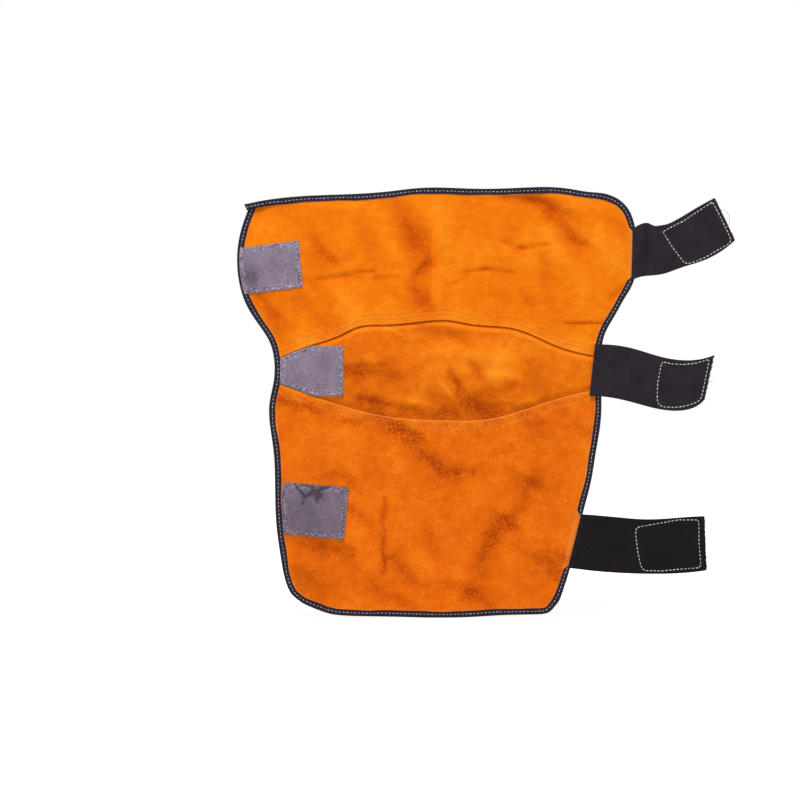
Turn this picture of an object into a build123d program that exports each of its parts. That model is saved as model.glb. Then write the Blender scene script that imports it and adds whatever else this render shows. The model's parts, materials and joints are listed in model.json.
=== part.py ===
from build123d import *
import os

# Split-leather welding leg guard: thigh panel, knee gusset and shin panel inside a bound edge,
# with three elastic straps on its right edge and three loop patches near its left edge.
# Frame: X to the right as the outer face is seen, +Y towards the leg, +Z up the leg.
# Origin: the knee's centre, on the guard's centre line, at the leather's back face.
# All sizes are in millimetres. Front is -Y, so layers in front have negative y. Plan shapes are
# drawn as (x, height above the hem) and set down so that the knee's height becomes z = 0.

# ---- driving dimensions -------------------------------------------------------------------
KNEE_HEIGHT = 316.0  # from the hem's lowest level to the knee's centre
LEATHER = 1.4  # thickness of the leather and of one loop patch
TAPE = 0.8  # thickness of the folded binding tape
BINDING_WIDTH = 8.0
ELASTIC = 1.4  # thickness of one layer of strap elastic
HOOK = 1.6  # thickness of a hook pad
THREAD = 0.3  # how far a row of stitches stands proud
THREAD_WIDTH = 0.8
STITCH_INSET = 4.0  # from the guard's edge to the binding's row of stitches
FIT = 0.05  # clearance between neighbours that share a curved border
HALF_CENTRE = 65.0  # from the centre line to each vertical bend line
SEAM_MARGIN = 9.0  # how far the knee gusset runs on behind the thigh and shin panels
SEAM_LAP = 6.0  # how far that margin is joined to the gusset's visible part
SEAM_ROWS = (7.0, 13.0)  # distance of the two rows of seam stitches from the panel's edge
HINGE_GAP = 2.5  # half of the free strip left at each bend line of a strap
PATCH_ROW = 4.0  # from a loop patch's edge to its row of stitches
PATCH_TUCK = 1.0  # from the middle loop patch to the seams above and below it
PATCH_LAP_INSET = 3.0  # from the guard's edge to the upper loop patch, where it laps the binding
ROOT_ROW = 3.0  # from the inner end of a strap's root to its row of stitches
PAD_MARGIN = 2.0  # how far a hook pad reaches past its stitched box
BEHIND_CLEARANCE = 0.5  # from the binding's back leg to the gusset's margins
REACH = 600.0  # longer than the guard, for cutting shapes
EDGE_SAMPLES = 70  # points taken along each half of the outline to move it inwards
SHORTEST_STEP = 1.0  # least advance between two of those points

# ---- layers: y of the back and of the front of each layer -----------------------------------------
BACK = 0.0
FRONT = -LEATHER
TAPE_FRONT = FRONT - TAPE
PATCH_FRONT = FRONT - LEATHER
ROOT_BACK = -2.6
BAND_FRONT = ROOT_BACK - 2 * ELASTIC
BAND_BACK = BAND_FRONT + ELASTIC
HOOK_BACK = BAND_BACK + HOOK

# ---- outline of the guard, (x, height), clockwise from the top left corner -----------------------
TOP_AND_RIGHT = [
    (-228.5, 529.5), (-200, 535), (-166, 538.5), (-108, 541), (-51, 544.8), (-13, 549), (60, 547.8),
    (118, 549.2), (157, 549.9), (182, 547.2), (203, 543.8), (226, 541.3), (240, 535.3), (254, 521.5),
    (261, 504), (264, 484), (264, 460), (262.5, 438), (258.5, 424), (250, 410), (236, 385),
    (223, 361), (219, 340), (218.5, 300), (218, 250), (212, 212), (206, 175), (198, 143), (187, 98),
    (177, 55), (168, 28), (161, 13.5), (153, 6.5), (138, 4), (112, 3.6), (83, 2.6), (54, 0.8),
    (25, 0),
]
BOTTOM_AND_LEFT = [
    (25, 0), (-8, 0), (-51, 1), (-105, 2), (-130, 5), (-147, 11), (-163, 18), (-176, 28),
    (-184, 44), (-191, 78), (-196, 115), (-198, 170), (-200, 214), (-204.5, 245), (-205.5, 272),
    (-200, 300), (-199, 328), (-204, 350), (-218, 373), (-234, 398), (-243, 424),
    (-246.5, 457), (-245.5, 474), (-240, 500), (-228.5, 529.5),
]

# ---- the two seams, from left to right ----------------------------------------------------------
THIGH_SEAM = [
    (-260, 300), (-190, 333), (-152, 348), (-118, 359.5), (-90, 372), (-55, 374.3),
    (0, 379.5), (23, 380), (52, 375), (111, 368.5), (139, 357.5), (170, 344.3), (206, 335.4),
    (280, 318),
]
SHIN_SEAM = [
    (-260, 322), (-190, 297), (-129, 276), (-78, 261.3), (-30, 254), (30, 251.6),
    (66, 252.3), (109, 261.6), (155, 277), (201, 288.7), (280, 308),
]

# ---- loop patches, corners (x, height) -----------------------------------------------------------
LOOP_PATCHES = {
    "upper": [(-252, 470.5), (-167.5, 482), (-162.5, 422), (-248, 411.3)],
    "middle": [(-230, 347), (-110, 347), (-110, 283), (-230, 283)],
    "lower": [
        (-186.5, 172.8), (-103.5, 166.5), (-110, 99.5), (-200, 108.1), (-200, 150), (-190.5, 155),
    ],
}

# ---- straps ---------------------------------------------------------------------------------------
# top and bottom: the strap's long edges from the guard to the tip.
# root_edge: upper and lower point of the straight inner end of the strap's sewn root.
# root_hinge, tip_hinge: a point (x, height) on each bend line, and its lean to the left in degrees.
# box: the tip's stitched box, clockwise from its top left corner.
STRAPS = {
    "upper": {
        "top": [
            (235, 489), (258, 496.5), (267.5, 501.8), (275, 504), (281, 503.2), (285.5, 500.6),
            (294, 500.7), (301, 502), (312, 506.7), (331, 517.8), (352, 530), (363, 535.8),
        ],
        "bottom": [
            (235, 429), (258, 431), (263.4, 433.3), (270.3, 435.4), (283, 436.7), (298, 438.8),
            (310.5, 443), (326, 448.5), (342.3, 453.4), (359, 460.3), (379.7, 473.4), (389.4, 481.8),
        ],
        "root_edge": ((258.8, 497), (257, 429)),
        "root_hinge": ((271.5, 468), 15.0),
        "tip_hinge": ((295, 471), 6.0),
        "box": [
            (296.6, 492.5), (323, 506), (345, 520.5), (360.5, 530.5), (373, 506), (380, 492),
            (384, 482), (381.8, 477.6), (352, 460.3), (338, 454), (325.7, 451.3), (310.5, 470.7),
        ],
    },
    "middle": {
        "top": [(195, 347), (235, 348), (258, 344), (296, 332.8), (323, 328.7), (362.5, 335.3)],
        "bottom": [(195, 282), (227, 281.5), (258, 275), (304, 264.5), (342, 271), (350, 278)],
        "root_edge": ((210.5, 349), (203.2, 281)),
        "root_hinge": ((226, 312), -5.0),
        "tip_hinge": ((286, 302), -3.0),
        "box": [
            (295.6, 326.8), (308, 324), (324, 323), (340, 325), (356.6, 329.8), (353, 313),
            (346.2, 279.8), (340.6, 274.9), (325, 269.8), (310.2, 268.2), (296, 269.4),
            (291, 271.8), (289.6, 280), (290.4, 299),
        ],
    },
    "lower": {
        "top": [(180, 132.5), (204, 131.5), (243, 128), (273, 125.8), (319, 128), (350, 129.7)],
        "bottom": [
            (165, 64.5), (184.5, 62.5), (214, 59.2), (243, 57), (287, 56), (331, 57.7), (353, 60.5),
        ],
        "root_edge": ((193.5, 133), (175.5, 61)),
        "root_hinge": ((192, 95), -14.0),
        "tip_hinge": ((258.5, 91), -5.0),
        "box": [
            (263, 115), (277, 118), (302, 122.3), (315, 124.9), (343, 124.9), (343, 99),
            (345.6, 66), (343, 63.9), (316.5, 61.9), (294.5, 59.8), (273, 60.4), (269.6, 63.6),
            (265.2, 82.6), (262.3, 106),
        ],
    },
}

BODY_SPANS = {
    "left": (-REACH, -HALF_CENTRE - FIT),
    "centre": (-HALF_CENTRE + FIT, HALF_CENTRE - FIT),
    "right": (HALF_CENTRE + FIT, REACH),
}


# ---- flat shapes, drawn with local y as the height above the hem ---------------------------------
def guard_edges():
    """The outline as two curves. They run into each other on the hem and meet in the top left corner."""
    return [Spline(*TOP_AND_RIGHT), Spline(*BOTTOM_AND_LEFT)]


def moved_inwards(edge, distance):
    """Points along a clockwise curve, moved to its right. Points that would turn back are left out."""
    points = []
    for i in range(EDGE_SAMPLES + 1):
        place = edge @ (i / EDGE_SAMPLES)
        along = edge % (i / EDGE_SAMPLES)
        point = Vector(place.X + distance * along.Y, place.Y - distance * along.X)
        if not points or (point - points[-1]).dot(along) > SHORTEST_STEP:
            points.append(point)
    return points


def inset(distance):
    """The guard's face with its whole edge moved inwards."""
    first, second = guard_edges()
    if distance == 0:
        return make_face([first, second])
    right = moved_inwards(first, distance)
    left = moved_inwards(second, distance)
    bisector = Vector((first % 0).Y, -(first % 0).X) + Vector((second % 1).Y, -(second % 1).X)
    corner = (first @ 0) + bisector * (2 * distance / bisector.length**2)
    right = [corner] + [p for p in right if (p - corner).X > distance]
    left = [p for p in left if (corner - p).Y > distance] + [corner]
    left[0] = right[-1]
    return make_face([Spline(*right), Spline(*left)])


def edge_ring(outer, inner):
    """The zone between two distances inside the guard's edge."""
    return inset(outer) - inset(inner)


def above(points, shift=0.0):
    """Everything above a seam line, moved up by shift."""
    line = Spline(*[(x, z + shift) for x, z in points])
    first, last = line @ 0, line @ 1
    side = Polyline((last.X, last.Y), (last.X, REACH), (first.X, REACH), (first.X, first.Y))
    return make_face([line, side])


def seam_row(points, shift):
    """A row of stitches that follows a seam line at a distance."""
    low = shift - THREAD_WIDTH / 2
    return above(points, low) - above(points, low + THREAD_WIDTH)


def polygon(corners, margin=0.0):
    """A face with straight edges through the given corners, grown by a margin."""
    face = make_face(Polyline(*corners, close=True))
    return offset(face, amount=margin, kind=Kind.INTERSECTION) if margin else face


def beyond(hinge, gap):
    """Everything on the tip's side of a strap's bend line, from gap past the line."""
    (x, z), lean = hinge
    return Pos(x, z) * Rot(0, 0, lean) * Pos(gap + REACH / 2, 0) * Rectangle(REACH, REACH)


def inside_root(strap, shift):
    """Everything to the left of a strap's root edge, with that edge moved right by shift."""
    (x_top, top), (x_bottom, bottom) = strap["root_edge"]
    lean = (x_top - x_bottom) / (top - bottom)
    high = (x_top + lean * REACH + shift, top + REACH)
    low = (x_bottom - lean * REACH + shift, bottom - REACH)
    return polygon([high, low, (-REACH, low[1]), (-REACH, high[1])])


def strap_face(strap):
    """The outline of one strap, from under its root to its tip."""
    top = Spline(*strap["top"])
    bottom = Spline(*strap["bottom"])
    root_end = Line(bottom @ 0, top @ 0)
    tip_end = Line(top @ 1, bottom @ 1)
    return make_face([top, tip_end, bottom, root_end])


# ---- solids ---------------------------------------------------------------------------------------
def layer(face, back, front):
    """A flat face made into a layer between two y levels. front is the lower y."""
    plane = Plane(origin=(0, back, -KNEE_HEIGHT), x_dir=(1, 0, 0), z_dir=(0, -1, 0))
    return extrude(plane * face, amount=back - front, dir=(0, -1, 0))


def span(shape, body):
    """The part of a shape that belongs to one of the three leather bodies."""
    low, high = BODY_SPANS[body]
    window = Pos((low + high) / 2, 0, 0) * Box(high - low, REACH, 4 * REACH)
    return shape & window


def leather_panels():
    """Thigh and shin panels, and the knee gusset with its margins behind both seams."""
    leather = inset(TAPE + FIT)
    behind = inset(BINDING_WIDTH + BEHIND_CLEARANCE)
    thigh = layer(leather & above(THIGH_SEAM, FIT), BACK, FRONT)
    shin = layer(leather - above(SHIN_SEAM, -FIT), BACK, FRONT)
    knee = layer((leather & above(SHIN_SEAM, FIT)) - above(THIGH_SEAM, -FIT), BACK, FRONT)
    for seam, below, over in (
        (THIGH_SEAM, SEAM_LAP, SEAM_MARGIN),
        (SHIN_SEAM, SEAM_MARGIN, SEAM_LAP),
    ):
        knee += layer(behind & (above(seam, -below) - above(seam, over)), LEATHER, BACK)
    return thigh, knee, shin


def binding():
    """Tape folded round the leather's edge: a front leg, a back leg and the wall between."""
    tape = layer(edge_ring(0, BINDING_WIDTH), BACK + TAPE, TAPE_FRONT)
    return tape - layer(inset(TAPE), BACK, FRONT)


def binding_thread():
    """The visible row of stitches on the front and on the back of the binding."""
    row = edge_ring(STITCH_INSET, STITCH_INSET + THREAD_WIDTH)
    front = layer(row, TAPE_FRONT, TAPE_FRONT - THREAD)
    back = layer(row, BACK + TAPE + THREAD, BACK + TAPE)
    return Compound(front.solids() + back.solids())


def seam_threads():
    """Two rows of stitches above the thigh seam and two below the shin seam."""
    inside = inset(BINDING_WIDTH + FIT)
    rows = [seam_row(THIGH_SEAM, distance) for distance in SEAM_ROWS]
    rows += [seam_row(SHIN_SEAM, -distance) for distance in SEAM_ROWS]
    layers = [layer(inside & row, FRONT, FRONT - THREAD) for row in rows]
    return Compound([solid for row in layers for solid in row.solids()])


def patch_face(name, margin):
    """A loop patch as it lies inside the binding, less a margin. The middle one fits between the seams."""
    face = polygon(LOOP_PATCHES[name], -margin) & inset(BINDING_WIDTH + FIT + margin)
    if name == "middle":
        face = (face & above(SHIN_SEAM, PATCH_TUCK + margin)) - above(
            THIGH_SEAM, -PATCH_TUCK - margin
        )
    return face


def loop_patch(name):
    """A loop patch, and its ring of stitches. The upper one laps over the binding and its stitches."""
    patch = layer(patch_face(name, 0), FRONT, PATCH_FRONT)
    if name == "upper":
        lap = polygon(LOOP_PATCHES[name]) & edge_ring(PATCH_LAP_INSET, BINDING_WIDTH + 2)
        groove = edge_ring(STITCH_INSET - FIT, STITCH_INSET + THREAD_WIDTH + FIT)
        patch += layer(lap, TAPE_FRONT, TAPE_FRONT - LEATHER)
        patch -= layer(groove, TAPE_FRONT, TAPE_FRONT - THREAD - FIT)
    row = patch_face(name, PATCH_ROW) - patch_face(name, PATCH_ROW + THREAD_WIDTH)
    return patch, layer(row, PATCH_FRONT, PATCH_FRONT - THREAD)


def strap_pieces(strap):
    """The sewn root, its stitches, the band, the tip, the hook pad and the tip's stitches."""
    whole = strap_face(strap)
    root_zone = whole - beyond(strap["root_hinge"], -HINGE_GAP)
    root = layer(root_zone - inside_root(strap, 0), ROOT_BACK, BAND_FRONT)
    row = root_zone & (inside_root(strap, ROOT_ROW + THREAD_WIDTH) - inside_root(strap, ROOT_ROW))
    root_thread = layer(row, BAND_FRONT, BAND_FRONT - THREAD)

    past_root = whole & beyond(strap["root_hinge"], HINGE_GAP)
    band = layer(past_root - beyond(strap["tip_hinge"], -HINGE_GAP), BAND_BACK, BAND_FRONT)

    tip_face = whole & beyond(strap["tip_hinge"], HINGE_GAP)
    tip = layer(tip_face, BAND_BACK, BAND_FRONT)
    pad_face = polygon(strap["box"], PAD_MARGIN) & tip_face
    pad = layer(pad_face, HOOK_BACK, BAND_BACK)
    row = (polygon(strap["box"]) - polygon(strap["box"], -THREAD_WIDTH)) & pad_face
    tip_thread = layer(row, BAND_FRONT, BAND_FRONT - THREAD).solids()
    tip_thread += layer(row, HOOK_BACK + THREAD, HOOK_BACK).solids()
    return root, root_thread, band, tip, pad, Compound(tip_thread)


# ---- the whole guard ------------------------------------------------------------------------------
def build():
    """Every node's name with its shape."""
    thigh, knee, shin = leather_panels()
    flat_parts = {
        "thigh_panel": thigh,
        "knee_panel": knee,
        "shin_panel": shin,
        "edge_binding": binding(),
        "binding_thread": binding_thread(),
        "seam_threads": seam_threads(),
    }
    nodes = {}
    for name, shape in flat_parts.items():
        for body in BODY_SPANS:
            nodes[f"{name}_{body}"] = span(shape, body)
    for name in LOOP_PATCHES:
        patch, thread = loop_patch(name)
        nodes[f"{name}_loop_patch"] = patch
        nodes[f"{name}_patch_thread"] = thread
    for name, strap in STRAPS.items():
        root, root_row, band, tip, pad, tip_thread = strap_pieces(strap)
        nodes[f"{name}_strap_root"] = root
        nodes[f"{name}_root_thread"] = root_row
        nodes[f"{name}_strap_band"] = band
        nodes[f"{name}_strap_tip"] = tip
        nodes[f"{name}_hook_pad"] = pad
        nodes[f"{name}_tip_thread"] = tip_thread
    return nodes


os.makedirs("parts", exist_ok=True)
for node, shape in build().items():
    solids = shape.solids()
    export_step(solids[0] if len(solids) == 1 else Compound(solids), f"parts/{node}.step")
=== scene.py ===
"""Looks for the welding leg guard: suede panels, bound edge, stitches, loop patches and elastic straps.

Every shape is drawn from the CAD nodes: their borders are read from the frame, and the soft sheets,
tapes, straps and stitches are built along them. Lengths in the shaping functions are millimetres,
because that is how such goods are described; meshes are made in metres.
Plan points are (x, height above the hem) in the guard's plane. A level is a distance in front of
the leather's back face.
"""

import json
import math

import bmesh
import bpy
import numpy as np
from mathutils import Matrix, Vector
from mathutils.geometry import delaunay_2d_cdt


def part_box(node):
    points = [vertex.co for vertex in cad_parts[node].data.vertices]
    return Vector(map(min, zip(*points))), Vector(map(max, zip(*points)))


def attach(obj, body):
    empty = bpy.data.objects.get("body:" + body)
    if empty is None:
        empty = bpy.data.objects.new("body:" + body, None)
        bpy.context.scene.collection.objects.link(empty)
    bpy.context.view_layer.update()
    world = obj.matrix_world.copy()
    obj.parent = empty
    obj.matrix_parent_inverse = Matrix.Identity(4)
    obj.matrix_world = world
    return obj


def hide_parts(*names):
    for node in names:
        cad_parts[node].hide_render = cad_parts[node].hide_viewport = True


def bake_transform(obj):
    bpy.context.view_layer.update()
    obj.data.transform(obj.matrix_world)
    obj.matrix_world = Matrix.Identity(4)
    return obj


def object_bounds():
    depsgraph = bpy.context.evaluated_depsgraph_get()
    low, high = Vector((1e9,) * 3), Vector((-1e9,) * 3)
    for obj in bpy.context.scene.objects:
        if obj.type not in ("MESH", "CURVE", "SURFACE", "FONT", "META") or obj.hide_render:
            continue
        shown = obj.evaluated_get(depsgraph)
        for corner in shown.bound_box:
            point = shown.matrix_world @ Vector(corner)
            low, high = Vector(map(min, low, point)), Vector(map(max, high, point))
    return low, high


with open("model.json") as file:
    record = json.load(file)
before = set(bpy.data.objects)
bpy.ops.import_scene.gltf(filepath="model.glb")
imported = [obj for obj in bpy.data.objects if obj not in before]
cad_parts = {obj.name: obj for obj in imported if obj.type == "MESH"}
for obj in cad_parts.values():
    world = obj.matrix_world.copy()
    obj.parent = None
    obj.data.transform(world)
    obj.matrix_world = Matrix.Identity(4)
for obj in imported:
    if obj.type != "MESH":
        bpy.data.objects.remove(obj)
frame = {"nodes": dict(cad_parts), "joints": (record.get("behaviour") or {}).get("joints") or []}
cad_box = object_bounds()

MM = 0.001
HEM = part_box("edge_binding_centre")[0].z / MM  # the hem's z in the frame, mm
SIDES = {"left": "left_wing", "right": "right_wing"}
JOINTS = {joint["name"]: joint for joint in frame["joints"]}

# ---- sizes of the visible make-up, mm ---------------------------------------------------------
LEATHER = 1.4
BINDING_WIDTH = 8.0
BINDING_STITCH = 4.3  # from the guard's edge to the binding's stitches
STITCH_PITCH = 4.9
SEAM_ROWS = (7.0, 12.5)
SEAM_STEP = 0.8  # the gusset lies this far behind the back of the panel that laps over it
SEAM_MARGIN = 9.0
SHEET_GRID = 2.1  # point spacing of the leather sheets
CREASE_DEPTH = 1.3  # scales the heights of all creases
KNEE_PLACE = (5.0, 316.0)  # middle of the knee's dome
KNEE_REACH = (120.0, 46.0)  # half of its width and of its height
KNEE_DOME = 4.0  # how far it stands forward
SMOOTHINGS = 24  # passes that round the CAD edge's facets away
CUT_CLEAR = 7.0  # over this distance past the binding the gusset sinks behind the panels
RAW_EDGE_THINNING = 0.35  # how much thinner a panel is at its cut edge
STITCH_FRONT = 2.1  # level of the binding's front stitches
STITCH_BACK = -0.72  # level of the binding's back stitches
PATCH_ROW = 4.2  # from a loop patch's edge to its row of stitches
STRAP_WIDTH = 64.0  # typical, for rounding the straps' long edges
HOOK_PITCH = 1.9


# =============================================================================================
# Reading plan shapes from the CAD nodes
# =============================================================================================
def cad_points(node):
    """A CAD node's vertices, in mm, with z as the height above the hem."""
    mesh = frame["nodes"][node].data
    co = np.zeros(len(mesh.vertices) * 3, np.float32)
    mesh.vertices.foreach_get("co", co)
    return (co.reshape(-1, 3).astype(float) / MM - [0, 0, HEM]).round(2)


def front_loop(node):
    """The longest border of a CAD layer's front face, counter-clockwise as seen from the front."""
    co = cad_points(node)
    front = co[:, 1].min()
    keys = [tuple(p[[0, 2]]) if abs(p[1] - front) < 0.02 else None for p in co]
    follows = {}
    for face in frame["nodes"][node].data.polygons:
        corners = [keys[i] for i in face.vertices]
        if None in corners:
            continue
        for a, b in zip(corners, corners[1:] + corners[:1]):
            if a != b:
                follows[(a, b)] = True
    border = {a: b for a, b in follows if (b, a) not in follows}
    loops = []
    while border:
        loop = [next(iter(border))]
        while loop[-1] in border:
            loop.append(border.pop(loop[-1]))
        loops.append(np.array(loop[:-1]))
    loop = max(loops, key=lambda points: np.ptp(points, axis=0).sum())
    area = np.sum(loop[:, 0] * np.roll(loop[:, 1], -1) - loop[:, 1] * np.roll(loop[:, 0], -1))
    return loop if area > 0 else loop[::-1]


def running_length(points):
    """The length of a polyline up to each of its points."""
    return np.concatenate([[0], np.cumsum(np.linalg.norm(np.diff(points, axis=0), axis=1))])


def closed(points):
    """A border with its first point repeated at the end."""
    return np.vstack([points, points[:1]])


def resample(points, step):
    """A polyline with points at even spacing. Both ends are kept."""
    points = np.asarray(points, float)
    run = running_length(points)
    count = max(2, int(round(run[-1] / step)) + 1)
    at = np.linspace(0, run[-1], count)
    return np.stack([np.interp(at, run, points[:, k]) for k in range(points.shape[1])], axis=1)


def tape_wall(node):
    """Plan points of the binding's outer wall: the only faces that run from its front to its back."""
    co = cad_points(node)
    front, back = co[:, 1].min(), co[:, 1].max()
    found = set()
    for face in frame["nodes"][node].data.polygons:
        corners = co[list(face.vertices)]
        spans = corners[:, 1].min() < front + 0.02 and corners[:, 1].max() > back - 0.02
        on_cut = np.ptp(corners[:, 0]) < 0.02
        if spans and not on_cut:
            found |= {tuple(p) for p in corners[:, [0, 2]]}
    return found


def guard_outline():
    """The binding's outer edge, counter-clockwise from the sharp top left corner, 1 mm apart."""
    outer = set()
    for part in ("left", "centre", "right"):
        outer |= tape_wall(f"edge_binding_{part}")
    outer = np.array(sorted(outer))
    middle = (outer.min(0) + outer.max(0)) / 2
    outer = outer[np.argsort(np.arctan2(outer[:, 1] - middle[1], outer[:, 0] - middle[0]))]
    apart = np.linalg.norm(outer - np.roll(outer, 1, axis=0), axis=1) > 0.4
    outer = outer[apart]
    corner = np.argmax(outer[:, 1] - outer[:, 0])
    outer = np.roll(outer, -corner, axis=0)
    outer = resample(closed(outer), 1.0)
    for _ in range(SMOOTHINGS):
        outer[1:-1] = (outer[:-2] + 2 * outer[1:-1] + outer[2:]) / 4
    return outer[:-1]


OUTLINE = guard_outline()


def inward_normals(points, reach=3):
    """Unit normals to the left of a run of points, which is inwards on the outline."""
    ahead = np.vstack([points[reach:], points[-1:].repeat(reach, 0)])
    behind = np.vstack([points[:1].repeat(reach, 0), points[:-reach]])
    along = ahead - behind
    along /= np.linalg.norm(along, axis=1)[:, None]
    return np.stack([-along[:, 1], along[:, 0]], axis=1)


OUTLINE_IN = inward_normals(OUTLINE)


def edge_run(start, end, inset):
    """The outline from one index to another, going counter-clockwise, moved inwards."""
    count = len(OUTLINE)
    end = end if end > start else end + count
    index = np.arange(start, end + 1) % count
    return OUTLINE[index] + OUTLINE_IN[index] * inset


def edge_depth(points):
    """How far inside the guard's edge plan points lie. It is negative outside."""
    coarse, inward = OUTLINE[::3], OUTLINE_IN[::3]
    out = np.zeros(len(points))
    for i in range(0, len(points), 4000):
        away = points[i : i + 4000, None, :] - coarse[None, :, :]
        near = np.argmin((away**2).sum(2), axis=1)
        gap = away[np.arange(len(near)), near]
        side = np.sign((gap * inward[near]).sum(1))
        out[i : i + 4000] = side * np.hypot(*gap.T)
    return out


def edge_distance(points):
    return np.abs(edge_depth(points))


def seam_line(panel):
    """A panel's border at its seam, as heights to interpolate over x."""
    points = np.vstack([cad_points(f"{panel}_panel_{part}")[:, [0, 2]] for part in BODY_PARTS])
    points = np.unique(points, axis=0)
    points = points[edge_distance(points) > 4.0]
    points = points[np.argsort(points[:, 0])]
    start, end = points[1] - points[0], points[-1] - points[-2]
    first = points[0] - start / start[0] * 30
    last = points[-1] + end / end[0] * 30
    return np.vstack([first, points, last])


BODY_PARTS = ("left", "centre", "right")
THIGH_SEAM = seam_line("thigh")
SHIN_SEAM = seam_line("shin")


def seam_height(seam, x):
    return np.interp(x, seam[:, 0], seam[:, 1])


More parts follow.
